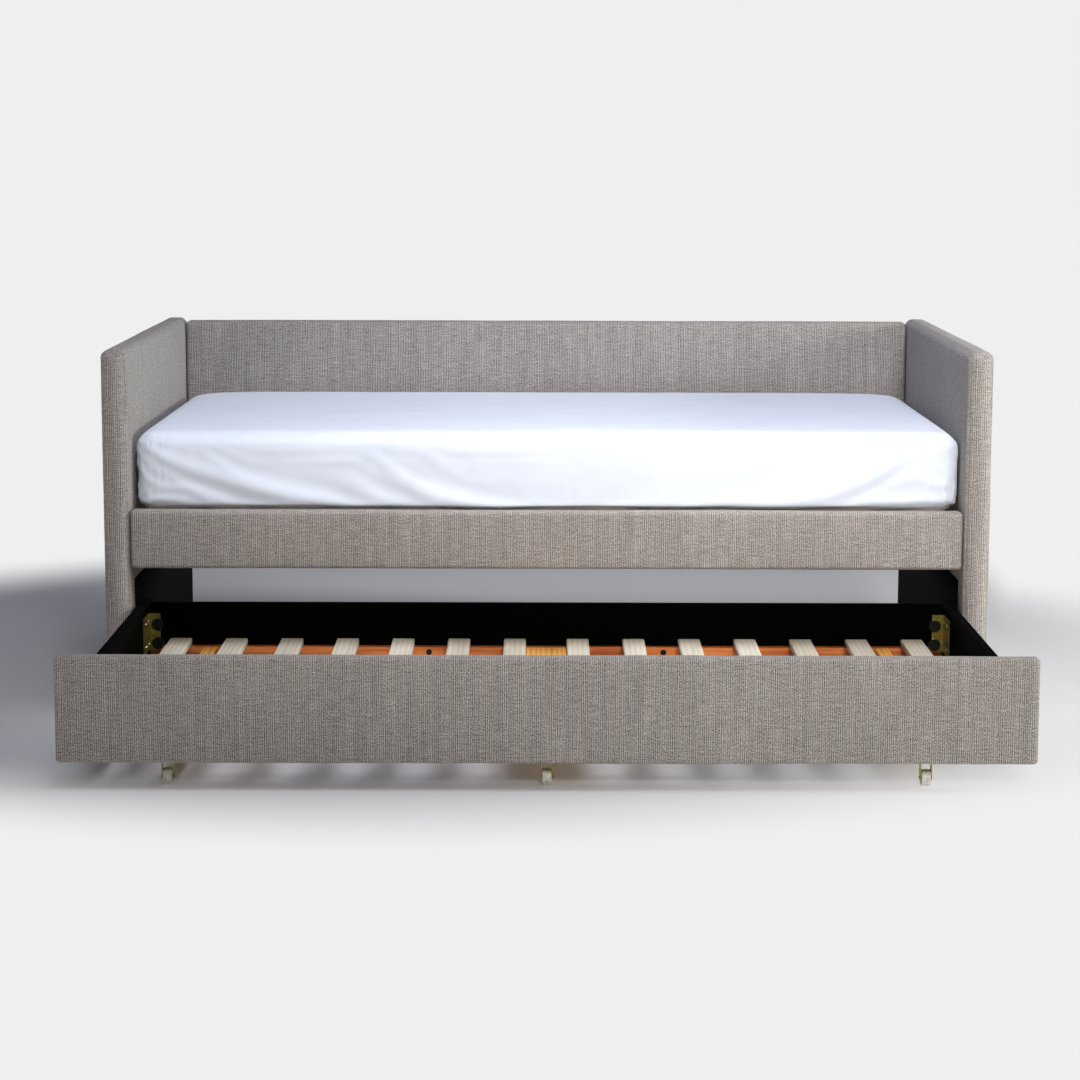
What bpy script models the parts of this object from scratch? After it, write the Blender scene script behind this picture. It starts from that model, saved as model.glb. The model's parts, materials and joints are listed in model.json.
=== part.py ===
"""Upholstered daybed with a rolling trundle drawer, drawn with the trundle pulled out.

Metres, +Z up, +X to the right, +Y to the back. The origin is on the floor, under the
middle of the whole object. The daybed's own frame starts at the front of its arms and
the trundle's own frame at its front face; each has an empty there.
"""

import math

import bmesh
import bpy

# Fits
GAP = 0.0003                # between pieces that touch
FOAM = 0.014                # foam and fabric over a board core

# Daybed
OUTER_WIDTH = 2.04
ARM_THICKNESS = 0.062
ARM_DEPTH = 1.13
ARM_TOP = 0.863
GLIDE_HEIGHT = 0.010
GLIDE_RADIUS = 0.016
GLIDE_INSET = 0.10          # from each end of an arm
RAIL_SETBACK = 0.004        # rail face behind the arms' front
RAIL_THICKNESS = 0.050
RAIL_BOTTOM, RAIL_TOP = 0.357, 0.4935
BACK_FACE = 1.052           # front face of the back panel
BACK_THICKNESS = 0.068
BACK_BOTTOM, BACK_TOP = 0.330, 0.857
LINING_THICKNESS = 0.0015
LINING_FRONT, LINING_BACK = 0.072, 1.110
LINING_TOP = 0.325
CORNER_RADIUS = 0.012       # padded edges
BOARD_EDGE = 0.002

# Mattress and its platform
MATTRESS_WIDTH = 1.905
MATTRESS_DEPTH = 0.990
PLATFORM_TOP = 0.470
MATTRESS_TOP = 0.675
MATTRESS_EDGE = 0.026
SHEET_THICKNESS = 0.0012
SHEET_HEM = 0.476           # height of the sheet's lower edge
SLAT_THICKNESS = 0.016
LEDGER_WIDTH = 0.025
LEDGER_HEIGHT = 0.0235
PLATFORM_SLATS = 13
PLATFORM_SLAT_WIDTH = 0.070
PLATFORM_SLAT_SPREAD = 0.885    # centre of the outermost slat
TAPE_WIDTH = 0.030
TAPE_THICKNESS = 0.0012
TAPE_INSET = 0.120

# Trundle
PULLED_OUT = 0.675          # trundle face in front of the arms at rest
FRONT_THICKNESS = 0.040
FRONT_BOTTOM, FRONT_TOP = 0.057, 0.285
BOX_HALF_WIDTH = 0.952
BOX_BOARD = 0.019
BOX_DEPTH = 0.785           # inside, front to back
BOX_BOTTOM, BOX_TOP = 0.070, 0.264
BOX_BACK_TOP = 0.254
SLAT_TOP = 0.170
SLAT_WIDTH = 0.0515
SLAT_PITCH = 0.1314
SLATS_PER_GROUP = 7
MIDDLE_GAP = 0.1476         # between the middle slats' centres
BEAM_BOTTOM = 0.0565
SIDE_BEAM_X, SIDE_BEAM_WIDTH = 0.790, 0.032
MIDDLE_BEAM_WIDTH = 0.094
LEDGER_BOLT_X = 0.276
BOLT_HEAD_RADIUS, BOLT_HEAD_LENGTH = 0.007, 0.004

# Brackets inside the trundle's sides, near its back
BRACKET_PLATE = 0.0025
BRACKET_LEG = 0.085         # along the side
BRACKET_FACE = 0.029        # across the box
BRACKET_BACK = 0.775
BRACKET_BOTTOM, BRACKET_TOP = 0.150, 0.238
KNOB_RADIUS, KNOB_LENGTH = 0.014, 0.010
KNOB_INSET = 0.0235         # from the side to the knob's middle
KNOB_HEIGHTS = (0.1677, 0.2123)

# Fixed casters
WHEEL_RADIUS, WHEEL_WIDTH = 0.0175, 0.0195
AXLE_RADIUS, BORE_CLEARANCE = 0.0030, 0.0003
AXLE_END = 0.0015           # how far the axle stands out of its fork
TREAD_CROWN = 0.0025
HUB_WALL, RIM_WALL, WEB_SINK = 0.0032, 0.0042, 0.0030
WALL_TAPER = 0.0008
CASTER_X = (-0.794, 0.0, 0.794)
CASTER_SIDES = ("left", "centre", "right")
CASTER_Y = {"front": 0.065, "back": 0.780}
FORK_PLATE, FORK_SHEET = 0.050, 0.0020
FORK_LEG_GAP = WHEEL_WIDTH / 2 + 0.0007
FORK_LEG_TOP_WIDTH, FORK_LEG_BOTTOM_WIDTH = 0.026, 0.014
FORK_LEG_BOTTOM = 0.0125

# Worked out from the sizes above
ARM_INNER = OUTER_WIDTH / 2 - ARM_THICKNESS
ARM_BOTTOM = GLIDE_HEIGHT + GAP
FRONT_Y = -(ARM_DEPTH - PULLED_OUT) / 2
BETWEEN_ARMS = ARM_INNER - GAP
BOX_INNER = BOX_HALF_WIDTH - BOX_BOARD
BOX_FRONT = FRONT_THICKNESS + GAP
BOX_BACK = BOX_FRONT + BOX_DEPTH
LEDGER_TOP = SLAT_TOP - SLAT_THICKNESS - GAP


def clear_scene():
    for item in list(bpy.data.objects):
        bpy.data.objects.remove(item, do_unlink=True)


def new_collection(name):
    group = bpy.data.collections.new(name)
    bpy.context.scene.collection.children.link(group)
    return group


def new_material(name, colour, roughness, metallic=0.0):
    material = bpy.data.materials.new(name)
    material.use_nodes = True
    shader = material.node_tree.nodes["Principled BSDF"]
    shader.inputs["Base Color"].default_value = (*colour, 1.0)
    shader.inputs["Roughness"].default_value = roughness
    shader.inputs["Metallic"].default_value = metallic
    return material


clear_scene()
PARTS = new_collection("trundle_bed")
CUTTERS = new_collection("trundle_bed_cutters")

TAUPE = new_material("taupe_fabric", (0.31, 0.29, 0.26), 0.95)
BLACK_CLOTH = new_material("black_fabric", (0.012, 0.012, 0.013), 0.95)
WHITE_COTTON = new_material("white_cotton", (0.86, 0.86, 0.88), 0.90)
TICKING = new_material("mattress_ticking", (0.80, 0.79, 0.76), 0.90)
PALE_WOOD = new_material("pale_slat_wood", (0.78, 0.68, 0.52), 0.60)
BROWN_WOOD = new_material("brown_ledger_wood", (0.42, 0.23, 0.12), 0.60)
PINE = new_material("golden_pine", (0.66, 0.44, 0.22), 0.60)
BOARD = new_material("core_board", (0.50, 0.38, 0.25), 0.75)
ZINC = new_material("yellow_zinc", (0.72, 0.62, 0.34), 0.30, 1.0)
NYLON = new_material("nylon", (0.78, 0.77, 0.72), 0.45)
BLACK_STEEL = new_material("black_steel", (0.015, 0.015, 0.015), 0.40, 0.6)
BLACK_PLASTIC = new_material("black_plastic", (0.02, 0.02, 0.02), 0.50)


def new_frame(name, y):
    """An empty on the floor, that a body's pieces are placed from."""
    empty = bpy.data.objects.new(name, None)
    empty.location = (0.0, y, 0.0)
    PARTS.objects.link(empty)
    return empty


DAYBED = new_frame("daybed_frame", FRONT_Y)
TRUNDLE = new_frame("trundle_frame", FRONT_Y - PULLED_OUT)


def place(name, mesh, location, material, parent):
    """A part, in the object's collection."""
    part = bpy.data.objects.new(name, mesh)
    part.location = location
    part.parent = parent
    if not mesh.materials:
        mesh.materials.append(material)
    PARTS.objects.link(part)
    return part


def box_mesh(name, size):
    mesh = bpy.data.meshes.new(name)
    cube = bmesh.new()
    bmesh.ops.create_cube(cube, size=1.0)
    bmesh.ops.scale(cube, vec=size, verts=cube.verts)
    cube.to_mesh(mesh)
    cube.free()
    return mesh


def cylinder_mesh(name, radius, length, sides):
    """A cylinder along Z."""
    mesh = bpy.data.meshes.new(name)
    rod = bmesh.new()
    bmesh.ops.create_cone(
        rod, cap_ends=True, segments=sides, radius1=radius, radius2=radius, depth=length
    )
    rod.to_mesh(mesh)
    rod.free()
    return mesh


def round_edges(part, width, segments):
    bevel = part.modifiers.new("rounded_edges", "BEVEL")
    bevel.width = width
    bevel.segments = segments
    bevel.limit_method = "ANGLE"


def box(name, low, high, material, parent, edge=0.0, segments=2):
    """A box between two corners of its parent's frame."""
    size = [b - a for a, b in zip(low, high)]
    centre = [(a + b) / 2 for a, b in zip(low, high)]
    part = place(name, box_mesh(name, size), centre, material, parent)
    if edge:
        round_edges(part, edge, segments)
    return part


def helper(name, mesh, location, parent):
    """A shape that only cuts or joins another, kept out of the object."""
    shape = bpy.data.objects.new(name, mesh)
    shape.location = location
    shape.parent = parent
    shape.hide_render = True
    shape.display_type = "WIRE"
    CUTTERS.objects.link(shape)
    return shape


def helper_box(name, low, high, parent):
    size = [b - a for a, b in zip(low, high)]
    centre = [(a + b) / 2 for a, b in zip(low, high)]
    return helper(name, box_mesh(name, size), centre, parent)


def combine(part, shape, operation):
    change = part.modifiers.new(shape.name, "BOOLEAN")
    change.operation = operation
    change.object = shape
    change.solver = "EXACT"


def mirrored(low, high, side):
    """A box's corners on the left (side -1) or on the right (side +1)."""
    if side > 0:
        return low, high
    return (-high[0], low[1], low[2]), (-low[0], high[1], high[2])


def padded_board(name, low, high, open_side, parent):
    """A board core, and a padded cover round it that is open on one side.

    open_side is (axis, direction): the core reaches the cover's face there.
    """
    axis, direction = open_side
    core_low = [v + FOAM for v in low]
    core_high = [v - FOAM for v in high]
    if direction > 0:
        core_high[axis] = high[axis]
    else:
        core_low[axis] = low[axis]
    box(name + "_frame", core_low, core_high, BOARD, parent)
    cover = box(name + "_cover", low, high, TAUPE, parent, CORNER_RADIUS)
    cut_low = [v - GAP for v in core_low]
    cut_high = [v + GAP for v in core_high]
    if direction > 0:
        cut_high[axis] += FOAM
    else:
        cut_low[axis] -= FOAM
    combine(cover, helper_box(name + "_hollow", cut_low, cut_high, parent), "DIFFERENCE")


def make_arms():
    for side, label in ((-1, "left"), (1, "right")):
        low, high = mirrored(
            (ARM_INNER, 0.0, ARM_BOTTOM), (OUTER_WIDTH / 2, ARM_DEPTH, ARM_TOP), side
        )
        padded_board(label + "_arm", low, high, (2, -1), DAYBED)
        low, high = mirrored(
            (ARM_INNER - GAP - LINING_THICKNESS, LINING_FRONT, ARM_BOTTOM + CORNER_RADIUS),
            (ARM_INNER - GAP, LINING_BACK, LINING_TOP),
            side,
        )
        box(label + "_arm_lining", low, high, BLACK_CLOTH, DAYBED)
        middle = side * (OUTER_WIDTH - ARM_THICKNESS) / 2
        for end, y in (("front", GLIDE_INSET), ("back", ARM_DEPTH - GLIDE_INSET)):
            name = f"{label}_{end}_glide"
            mesh = cylinder_mesh(name, GLIDE_RADIUS, GLIDE_HEIGHT, 24)
            place(name, mesh, (middle, y, GLIDE_HEIGHT / 2), BLACK_PLASTIC, DAYBED)


def make_back_and_rail():
    padded_board(
        "back",
        (-BETWEEN_ARMS, BACK_FACE, BACK_BOTTOM),
        (BETWEEN_ARMS, BACK_FACE + BACK_THICKNESS, BACK_TOP),
        (2, -1),
        DAYBED,
    )
    padded_board(
        "front_rail",
        (-BETWEEN_ARMS, RAIL_SETBACK, RAIL_BOTTOM),
        (BETWEEN_ARMS, RAIL_SETBACK + RAIL_THICKNESS, RAIL_TOP),
        (1, 1),
        DAYBED,
    )


def make_platform():
    """Two ledgers between the arms, and a roll of slats on them under the mattress."""
    slat_low = PLATFORM_TOP - SLAT_THICKNESS
    ledger_top = slat_low - GAP
    front = RAIL_SETBACK + RAIL_THICKNESS + GAP
    back = BACK_FACE - GAP
    reach = ARM_INNER - 2 * FOAM
    for name, near in (("front_ledger", front), ("back_ledger", back - LEDGER_WIDTH)):
        box(
            name,
            (-reach, near, ledger_top - LEDGER_HEIGHT),
            (reach, near + LEDGER_WIDTH, ledger_top),
            PINE,
            DAYBED,
            BOARD_EDGE,
            1,
        )
    tape_top = PLATFORM_TOP + TAPE_THICKNESS / 2
    spread = PLATFORM_SLAT_SPREAD + PLATFORM_SLAT_WIDTH / 2
    tape_rows = (front + TAPE_INSET, back - TAPE_INSET)
    roll = box(
        "daybed_slat_roll",
        (-spread, tape_rows[0] - TAPE_WIDTH / 2, tape_top - TAPE_THICKNESS),
        (spread, tape_rows[0] + TAPE_WIDTH / 2, tape_top),
        PALE_WOOD,
        DAYBED,
    )
    back_tape = helper_box(
        "back_tape",
        (-spread, tape_rows[1] - TAPE_WIDTH / 2, tape_top - TAPE_THICKNESS),
        (spread, tape_rows[1] + TAPE_WIDTH / 2, tape_top),
        DAYBED,
    )
    pitch = 2 * PLATFORM_SLAT_SPREAD / (PLATFORM_SLATS - 1)
    for number in range(PLATFORM_SLATS):
        x = -PLATFORM_SLAT_SPREAD + number * pitch
        half = PLATFORM_SLAT_WIDTH / 2
        slat = helper_box(
            f"platform_slat_{number + 1}",
            (x - half - GAP, front + GAP, slat_low),
            (x + half + GAP, back - GAP, PLATFORM_TOP),
            DAYBED,
        )
        combine(roll, slat, "UNION")
    combine(roll, back_tape, "UNION")


def make_mattress():
    half = MATTRESS_WIDTH / 2
    front = RAIL_SETBACK + RAIL_THICKNESS + 2 * GAP
    back = front + MATTRESS_DEPTH
    inset = SHEET_THICKNESS + 2 * GAP
    box(
        "mattress",
        (-half + inset, front + inset, PLATFORM_TOP + TAPE_THICKNESS + GAP),
        (half - inset, back - inset, MATTRESS_TOP - inset),
        TICKING,
        DAYBED,
        MATTRESS_EDGE - inset,
        3,
    )
    sheet_mesh = box_mesh(
        "fitted_sheet", (MATTRESS_WIDTH, MATTRESS_DEPTH, MATTRESS_TOP - SHEET_HEM)
    )
    shell = bmesh.new()
    shell.from_mesh(sheet_mesh)
    underside = [face for face in shell.faces if face.normal.z < -0.5]
    bmesh.ops.delete(shell, geom=underside, context="FACES_ONLY")
    shell.to_mesh(sheet_mesh)
    shell.free()
    centre = (0.0, (front + back) / 2, (MATTRESS_TOP + SHEET_HEM) / 2)
    sheet = place("fitted_sheet", sheet_mesh, centre, WHITE_COTTON, DAYBED)
    round_edges(sheet, MATTRESS_EDGE, 3)
    cloth = sheet.modifiers.new("cloth", "SOLIDIFY")
    cloth.thickness = SHEET_THICKNESS
    cloth.offset = -1.0
    cloth.use_even_offset = True


def make_trundle_box():
    padded_board(
        "trundle_front",
        (-OUTER_WIDTH / 2, 0.0, FRONT_BOTTOM),
        (OUTER_WIDTH / 2, FRONT_THICKNESS, FRONT_TOP),
        (1, 1),
        TRUNDLE,
    )
    for side, label in ((-1, "left"), (1, "right")):
        low, high = mirrored(
            (BOX_INNER, BOX_FRONT, BOX_BOTTOM),
            (BOX_HALF_WIDTH, BOX_BACK + BOX_BOARD, BOX_TOP),
            side,
        )
        box(f"trundle_{label}_side", low, high, BLACK_CLOTH, TRUNDLE, BOARD_EDGE)
    inside = BOX_INNER - GAP
    box(
        "trundle_back",
        (-inside, BOX_BACK, BOX_BOTTOM),
        (inside, BOX_BACK + BOX_BOARD, BOX_BACK_TOP),
        BLACK_CLOTH,
        TRUNDLE,
        BOARD_EDGE,
    )
    back_ledger = BOX_BACK - GAP - LEDGER_WIDTH
    for end, near in (("front", BOX_FRONT), ("back", back_ledger)):
        box(
            f"trundle_{end}_ledger",
            (-inside, near, LEDGER_TOP - LEDGER_HEIGHT),
            (inside, near + LEDGER_WIDTH, LEDGER_TOP),
            BROWN_WOOD,
            TRUNDLE,
            BOARD_EDGE,
            1,
        )
    for side, label in ((-1, "left"), (1, "right")):
        name = f"ledger_bolt_{label}"
        head = place(
            name,
            cylinder_mesh(name, BOLT_HEAD_RADIUS, BOLT_HEAD_LENGTH, 20),
            (
                side * LEDGER_BOLT_X,
                back_ledger - GAP - BOLT_HEAD_LENGTH / 2,
                LEDGER_TOP - LEDGER_HEIGHT / 2,
            ),
            BLACK_STEEL,
            TRUNDLE,
        )
        head.rotation_euler = (math.pi / 2, 0.0, 0.0)


def make_beams():
    """Three beams as high as the ledgers, notched under them at both ends."""
    widths = (SIDE_BEAM_WIDTH, MIDDLE_BEAM_WIDTH, SIDE_BEAM_WIDTH)
    notch = LEDGER_WIDTH + GAP
    ends = {
        "front": (BOX_FRONT - notch, BOX_FRONT + notch),
        "back": (BOX_BACK - GAP - notch, BOX_BACK + notch),
    }
    for side, x, width in zip(CASTER_SIDES, (-SIDE_BEAM_X, 0.0, SIDE_BEAM_X), widths):
        beam = box(
            f"{side}_caster_beam",
            (x - width / 2, BOX_FRONT, BEAM_BOTTOM),
            (x + width / 2, BOX_BACK - GAP, LEDGER_TOP),
            PINE,
            TRUNDLE,
            BOARD_EDGE,
            1,
        )
        for end, (near, far) in ends.items():
            ledger_room = helper_box(
                f"{side}_beam_{end}_notch",
                (x - width, near, LEDGER_TOP - LEDGER_HEIGHT - GAP),
                (x + width, far, LEDGER_TOP + notch),
                TRUNDLE,
            )
            combine(beam, ledger_room, "DIFFERENCE")


def make_slats():
    for number in range(2 * SLATS_PER_GROUP):
        group, place_in_group = divmod(number, SLATS_PER_GROUP)
        if group == 0:
            x = -MIDDLE_GAP / 2 - (SLATS_PER_GROUP - 1 - place_in_group) * SLAT_PITCH
        else:
            x = MIDDLE_GAP / 2 + place_in_group * SLAT_PITCH
        box(
            f"trundle_slat_{number + 1:02d}",
            (x - SLAT_WIDTH / 2, BOX_FRONT + 2 * GAP, SLAT_TOP - SLAT_THICKNESS),
            (x + SLAT_WIDTH / 2, BOX_BACK - 3 * GAP, SLAT_TOP),
            PALE_WOOD,
            TRUNDLE,
            BOARD_EDGE,
            1,
        )


def make_brackets():
    """An L of plate on each side of the box, with two round bolt knobs on its face."""
    corner_x = BOX_INNER - GAP
    knob_y = BRACKET_BACK - (BRACKET_PLATE + KNOB_LENGTH) / 2
    for side, label in ((-1, "left"), (1, "right")):
        low, high = mirrored(
            (corner_x - BRACKET_FACE, BRACKET_BACK - BRACKET_PLATE, BRACKET_BOTTOM),
            (corner_x, BRACKET_BACK, BRACKET_TOP),
            side,
        )
        bracket = box(f"{label}_bed_bracket", low, high, ZINC, TRUNDLE)
        low, high = mirrored(
            (corner_x - BRACKET_PLATE, BRACKET_BACK - BRACKET_LEG, BRACKET_BOTTOM),
            (corner_x, BRACKET_BACK - BRACKET_PLATE / 2, BRACKET_TOP),
            side,
        )
        side_leg = helper_box(f"{label}_bracket_leg", low, high, TRUNDLE)
        combine(bracket, side_leg, "UNION")
        for number, z in enumerate(KNOB_HEIGHTS):
            name = f"{label}_bracket_knob_{number}"
            spot = (side * (corner_x - KNOB_INSET), knob_y, z)
            knob = helper(name, cylinder_mesh(name, KNOB_RADIUS, KNOB_LENGTH, 24), spot, TRUNDLE)
            knob.rotation_euler = (math.pi / 2, 0.0, 0.0)
            combine(bracket, knob, "UNION")


def leg_mesh(name):
    """A flat fork leg that narrows to the axle, its thickness along X."""
    mesh = box_mesh(name, (FORK_SHEET, 1.0, BEAM_BOTTOM - GAP - FORK_LEG_BOTTOM - FORK_SHEET / 2))
    for vertex in mesh.vertices:
        width = FORK_LEG_TOP_WIDTH if vertex.co.z > 0 else FORK_LEG_BOTTOM_WIDTH
        vertex.co.y = math.copysign(width / 2, vertex.co.y)
    return mesh


def fork_mesh():
    """Plate, two legs and riveted axle, as one piece with its origin on the axle."""
    plate_top = BEAM_BOTTOM - GAP - WHEEL_RADIUS
    half = FORK_PLATE / 2
    shape = helper_box(
        "fork_plate", (-half, -half, plate_top - FORK_SHEET), (half, half, plate_top), None
    )
    round_edges(shape, FORK_SHEET / 4, 1)
    leg_middle = (plate_top - FORK_SHEET / 2 + FORK_LEG_BOTTOM - WHEEL_RADIUS) / 2
    for side in (-1, 1):
        x = side * (FORK_LEG_GAP + FORK_SHEET / 2)
        leg = helper(f"fork_leg_{side}", leg_mesh("fork_leg"), (x, 0.0, leg_middle), None)
        combine(shape, leg, "UNION")
    length = 2 * (FORK_LEG_GAP + FORK_SHEET + AXLE_END)
    axle = helper("axle", cylinder_mesh("axle", AXLE_RADIUS, length, 16), (0, 0, 0), None)
    axle.rotation_euler = (0.0, math.pi / 2, 0.0)
    combine(shape, axle, "UNION")
    bpy.context.view_layer.update()
    depsgraph = bpy.context.evaluated_depsgraph_get()
    mesh = bpy.data.meshes.new_from_object(shape.evaluated_get(depsgraph))
    mesh.transform(shape.matrix_world)
    return mesh


def wheel_mesh():
    """A turned wheel with a crowned tread, a sunk web and a hub, bored for its axle."""
    half = WHEEL_WIDTH / 2
    bore = AXLE_RADIUS + BORE_CLEARANCE
    crown_middle = (WHEEL_RADIUS - TREAD_CROWN, half - TREAD_CROWN)
    outline = [
        (bore, half),
        (bore + HUB_WALL, half),
        (bore + HUB_WALL + WALL_TAPER, half - WEB_SINK),
        (WHEEL_RADIUS - RIM_WALL - WALL_TAPER, half - WEB_SINK),
        (WHEEL_RADIUS - RIM_WALL, half),
    ]
    for step in range(4):
        angle = math.radians(90 - 30 * step)
        x = crown_middle[0] + TREAD_CROWN * math.cos(angle)
        outline.append((x, crown_middle[1] + TREAD_CROWN * math.sin(angle)))
    outline += [(x, -z) for x, z in reversed(outline)]
    mesh = bpy.data.meshes.new("wheel_outline")
    points = [(x, 0.0, z) for x, z in outline]
    edges = [(i, (i + 1) % len(points)) for i in range(len(points))]
    mesh.from_pydata(points, edges, [])
    shape = helper("wheel_outline", mesh, (0, 0, 0), None)
    turn = shape.modifiers.new("turned", "SCREW")
    turn.axis = "Z"
    turn.steps = turn.render_steps = 32
    turn.use_merge_vertices = True
    turn.merge_threshold = 0.00001
    turn.use_normal_calculate = True
    bpy.context.view_layer.update()
    depsgraph = bpy.context.evaluated_depsgraph_get()
    wheel = bpy.data.meshes.new_from_object(shape.evaluated_get(depsgraph))
    faces = bmesh.new()
    faces.from_mesh(wheel)
    bmesh.ops.recalc_face_normals(faces, faces=faces.faces)
    faces.to_mesh(wheel)
    faces.free()
    wheel.shade_smooth()
    wheel.set_sharp_from_angle(angle=math.radians(40))
    return wheel


def make_casters():
    """Six fixed casters under the beams. A wheel's origin is on its axle."""
    forks, wheels = fork_mesh(), wheel_mesh()
    for end, y in CASTER_Y.items():
        for side, x in zip(CASTER_SIDES, CASTER_X):
            axle = (x, y, WHEEL_RADIUS)
            place(f"{end}_{side}_caster_fork", forks, axle, ZINC, TRUNDLE)
            wheel = place(f"{end}_{side}_wheel", wheels, axle, NYLON, TRUNDLE)
            wheel.rotation_euler = (0.0, math.pi / 2, 0.0)


make_arms()
make_back_and_rail()
make_platform()
make_mattress()
make_trundle_box()
make_beams()
make_slats()
make_brackets()
make_casters()
bpy.context.view_layer.update()
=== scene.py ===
import json
import math

import bpy
import numpy as np
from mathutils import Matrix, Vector, noise


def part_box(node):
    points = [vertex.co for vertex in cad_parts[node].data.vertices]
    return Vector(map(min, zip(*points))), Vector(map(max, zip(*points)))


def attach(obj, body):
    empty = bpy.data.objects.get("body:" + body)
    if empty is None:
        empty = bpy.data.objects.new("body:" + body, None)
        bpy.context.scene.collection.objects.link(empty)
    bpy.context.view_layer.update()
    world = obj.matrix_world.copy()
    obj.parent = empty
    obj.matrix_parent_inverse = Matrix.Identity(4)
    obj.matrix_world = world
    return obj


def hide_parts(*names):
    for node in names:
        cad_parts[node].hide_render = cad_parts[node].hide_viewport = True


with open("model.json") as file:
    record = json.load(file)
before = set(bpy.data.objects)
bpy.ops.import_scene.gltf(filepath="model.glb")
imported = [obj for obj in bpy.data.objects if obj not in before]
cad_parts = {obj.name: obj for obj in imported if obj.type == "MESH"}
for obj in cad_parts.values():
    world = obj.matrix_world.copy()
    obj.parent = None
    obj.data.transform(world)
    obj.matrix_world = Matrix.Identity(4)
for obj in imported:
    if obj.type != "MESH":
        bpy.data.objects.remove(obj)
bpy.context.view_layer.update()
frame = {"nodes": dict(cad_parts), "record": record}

NODES = frame["nodes"]
BODIES = frame["record"]["behaviour"]["bodies"]
DAYBED, TRUNDLE = "daybed", "trundle"

# The camera, from the front of the arms
CAMERA_SIDE = -0.0175
CAMERA_DISTANCE = 6.223
CAMERA_HEIGHT = 1.358
CAMERA_TILT = math.radians(8.5)
CAMERA_ROLL = math.radians(-0.135)
CAMERA_LENS = 91.37

# Upholstery
CELL = 0.012                # spacing of a pad's grid
CROWN_WIDTH = 0.030         # how soon a pad reaches its full thickness from an edge
ARM_EDGE = 0.016
PANEL_EDGE = 0.008
SEAM_FROM_FRONT = 0.0045
ARM_PILLOW = 0.005
RIB_PITCH = 0.0044

# Backdrop
BACKDROP = 0.863            # the even tone of the wall and the far floor
FLOOR_MATT = (0.67, 0.67, 0.67)
FLOOR_REACH = 40.0          # from the middle to each edge
FILL_STRENGTH = 0.09        # the room's own soft light

# Boards and brackets
BRACKET_PLATE = 0.0025
BOARD_PROUD = 0.0015         # a bare board's back beyond the cloth wrapped round it

# Mattress and sheet
MATTRESS_ROUNDING = 0.036
FRONT_END_DROOP, BACK_END_DROOP = 0.002, 0.012
FRONT_DROOP = 0.006
END_BULGE = 0.003
CORNER_PULL = 0.003
SHEET_GAP = 0.0015
SHEET_CELL = 0.014
SHEET_SLACK = 0.0025        # how much the sheet is too big for the mattress
SETTLING_STEPS = 22


# ---------------------------------------------------------------- materials

class Finish:
    """A material on the Principled shader, built node by node."""

    def __init__(self, name, roughness=0.6, **constants):
        self.material = bpy.data.materials.new(name)
        self.material.use_nodes = True
        self.tree = self.material.node_tree
        self.shader = self.tree.nodes["Principled BSDF"]
        self.shader.inputs["Roughness"].default_value = roughness
        for socket, value in constants.items():
            name = socket.replace("_", " ").title().replace("Ior", "IOR")
            self.shader.inputs[name].default_value = value

    def add(self, kind, inputs=None, **settings):
        node = self.tree.nodes.new("ShaderNode" + kind)
        for key, value in settings.items():
            setattr(node, key, value)
        for key, value in (inputs or {}).items():
            self.feed(node.inputs[key], value)
        return node

    def feed(self, socket, value):
        if isinstance(value, bpy.types.NodeSocket):
            self.tree.links.new(value, socket)
        else:
            socket.default_value = value

    def place(self):
        """Position in the object's own frame, in metres."""
        return self.add("TexCoord").outputs["Object"]

    def weave(self):
        """(across the ribs, along the ribs), in metres of cloth."""
        return self.add("UVMap", uv_map="weave").outputs["UV"]

    def scaled(self, vector, scale):
        node = self.add("VectorMath", {0: vector, 1: scale}, operation="MULTIPLY")
        return node.outputs[0]

    def noise(self, vector, scale, detail=2.0, roughness=0.5):
        values = {"Vector": vector, "Scale": scale, "Detail": detail, "Roughness": roughness}
        return self.add("TexNoise", values).outputs["Fac"]

    def bands(self, vector, scale, distortion=0.0, axis="X"):
        values = {"Vector": vector, "Scale": scale, "Distortion": distortion, "Detail": 2.0}
        node = self.add("TexWave", values, wave_type="BANDS", bands_direction=axis)
        return node.outputs["Fac"]

    def maths(self, operation, a, b=0.0, c=0.0):
        node = self.add("Math", {0: a, 1: b, 2: c}, operation=operation)
        return node.outputs[0]

    def ramp(self, factor, stops):
        """A colour ramp; stops are (position, colour)."""
        node = self.add("ValToRGB", {"Fac": factor})
        ramp = node.color_ramp
        while len(ramp.elements) < len(stops):
            ramp.elements.new(0.5)
        for element, (position, colour) in zip(ramp.elements, stops):
            element.position = position
            element.color = (*colour, 1.0)
        return node.outputs["Color"]

    def mixed(self, factor, a, b, blend="MIX"):
        node = self.add("Mix", data_type="RGBA", blend_type=blend)
        for socket, value in zip((0, 6, 7), (factor, a, b)):
            self.feed(node.inputs[socket], value)
        return node.outputs[2]

    def colour(self, value):
        self.feed(self.shader.inputs["Base Color"], value)

    def relief(self, height, distance, strength=1.0):
        values = {"Height": height, "Distance": distance, "Strength": strength}
        self.feed(self.shader.inputs["Normal"], self.add("Bump", values).outputs["Normal"])


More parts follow.
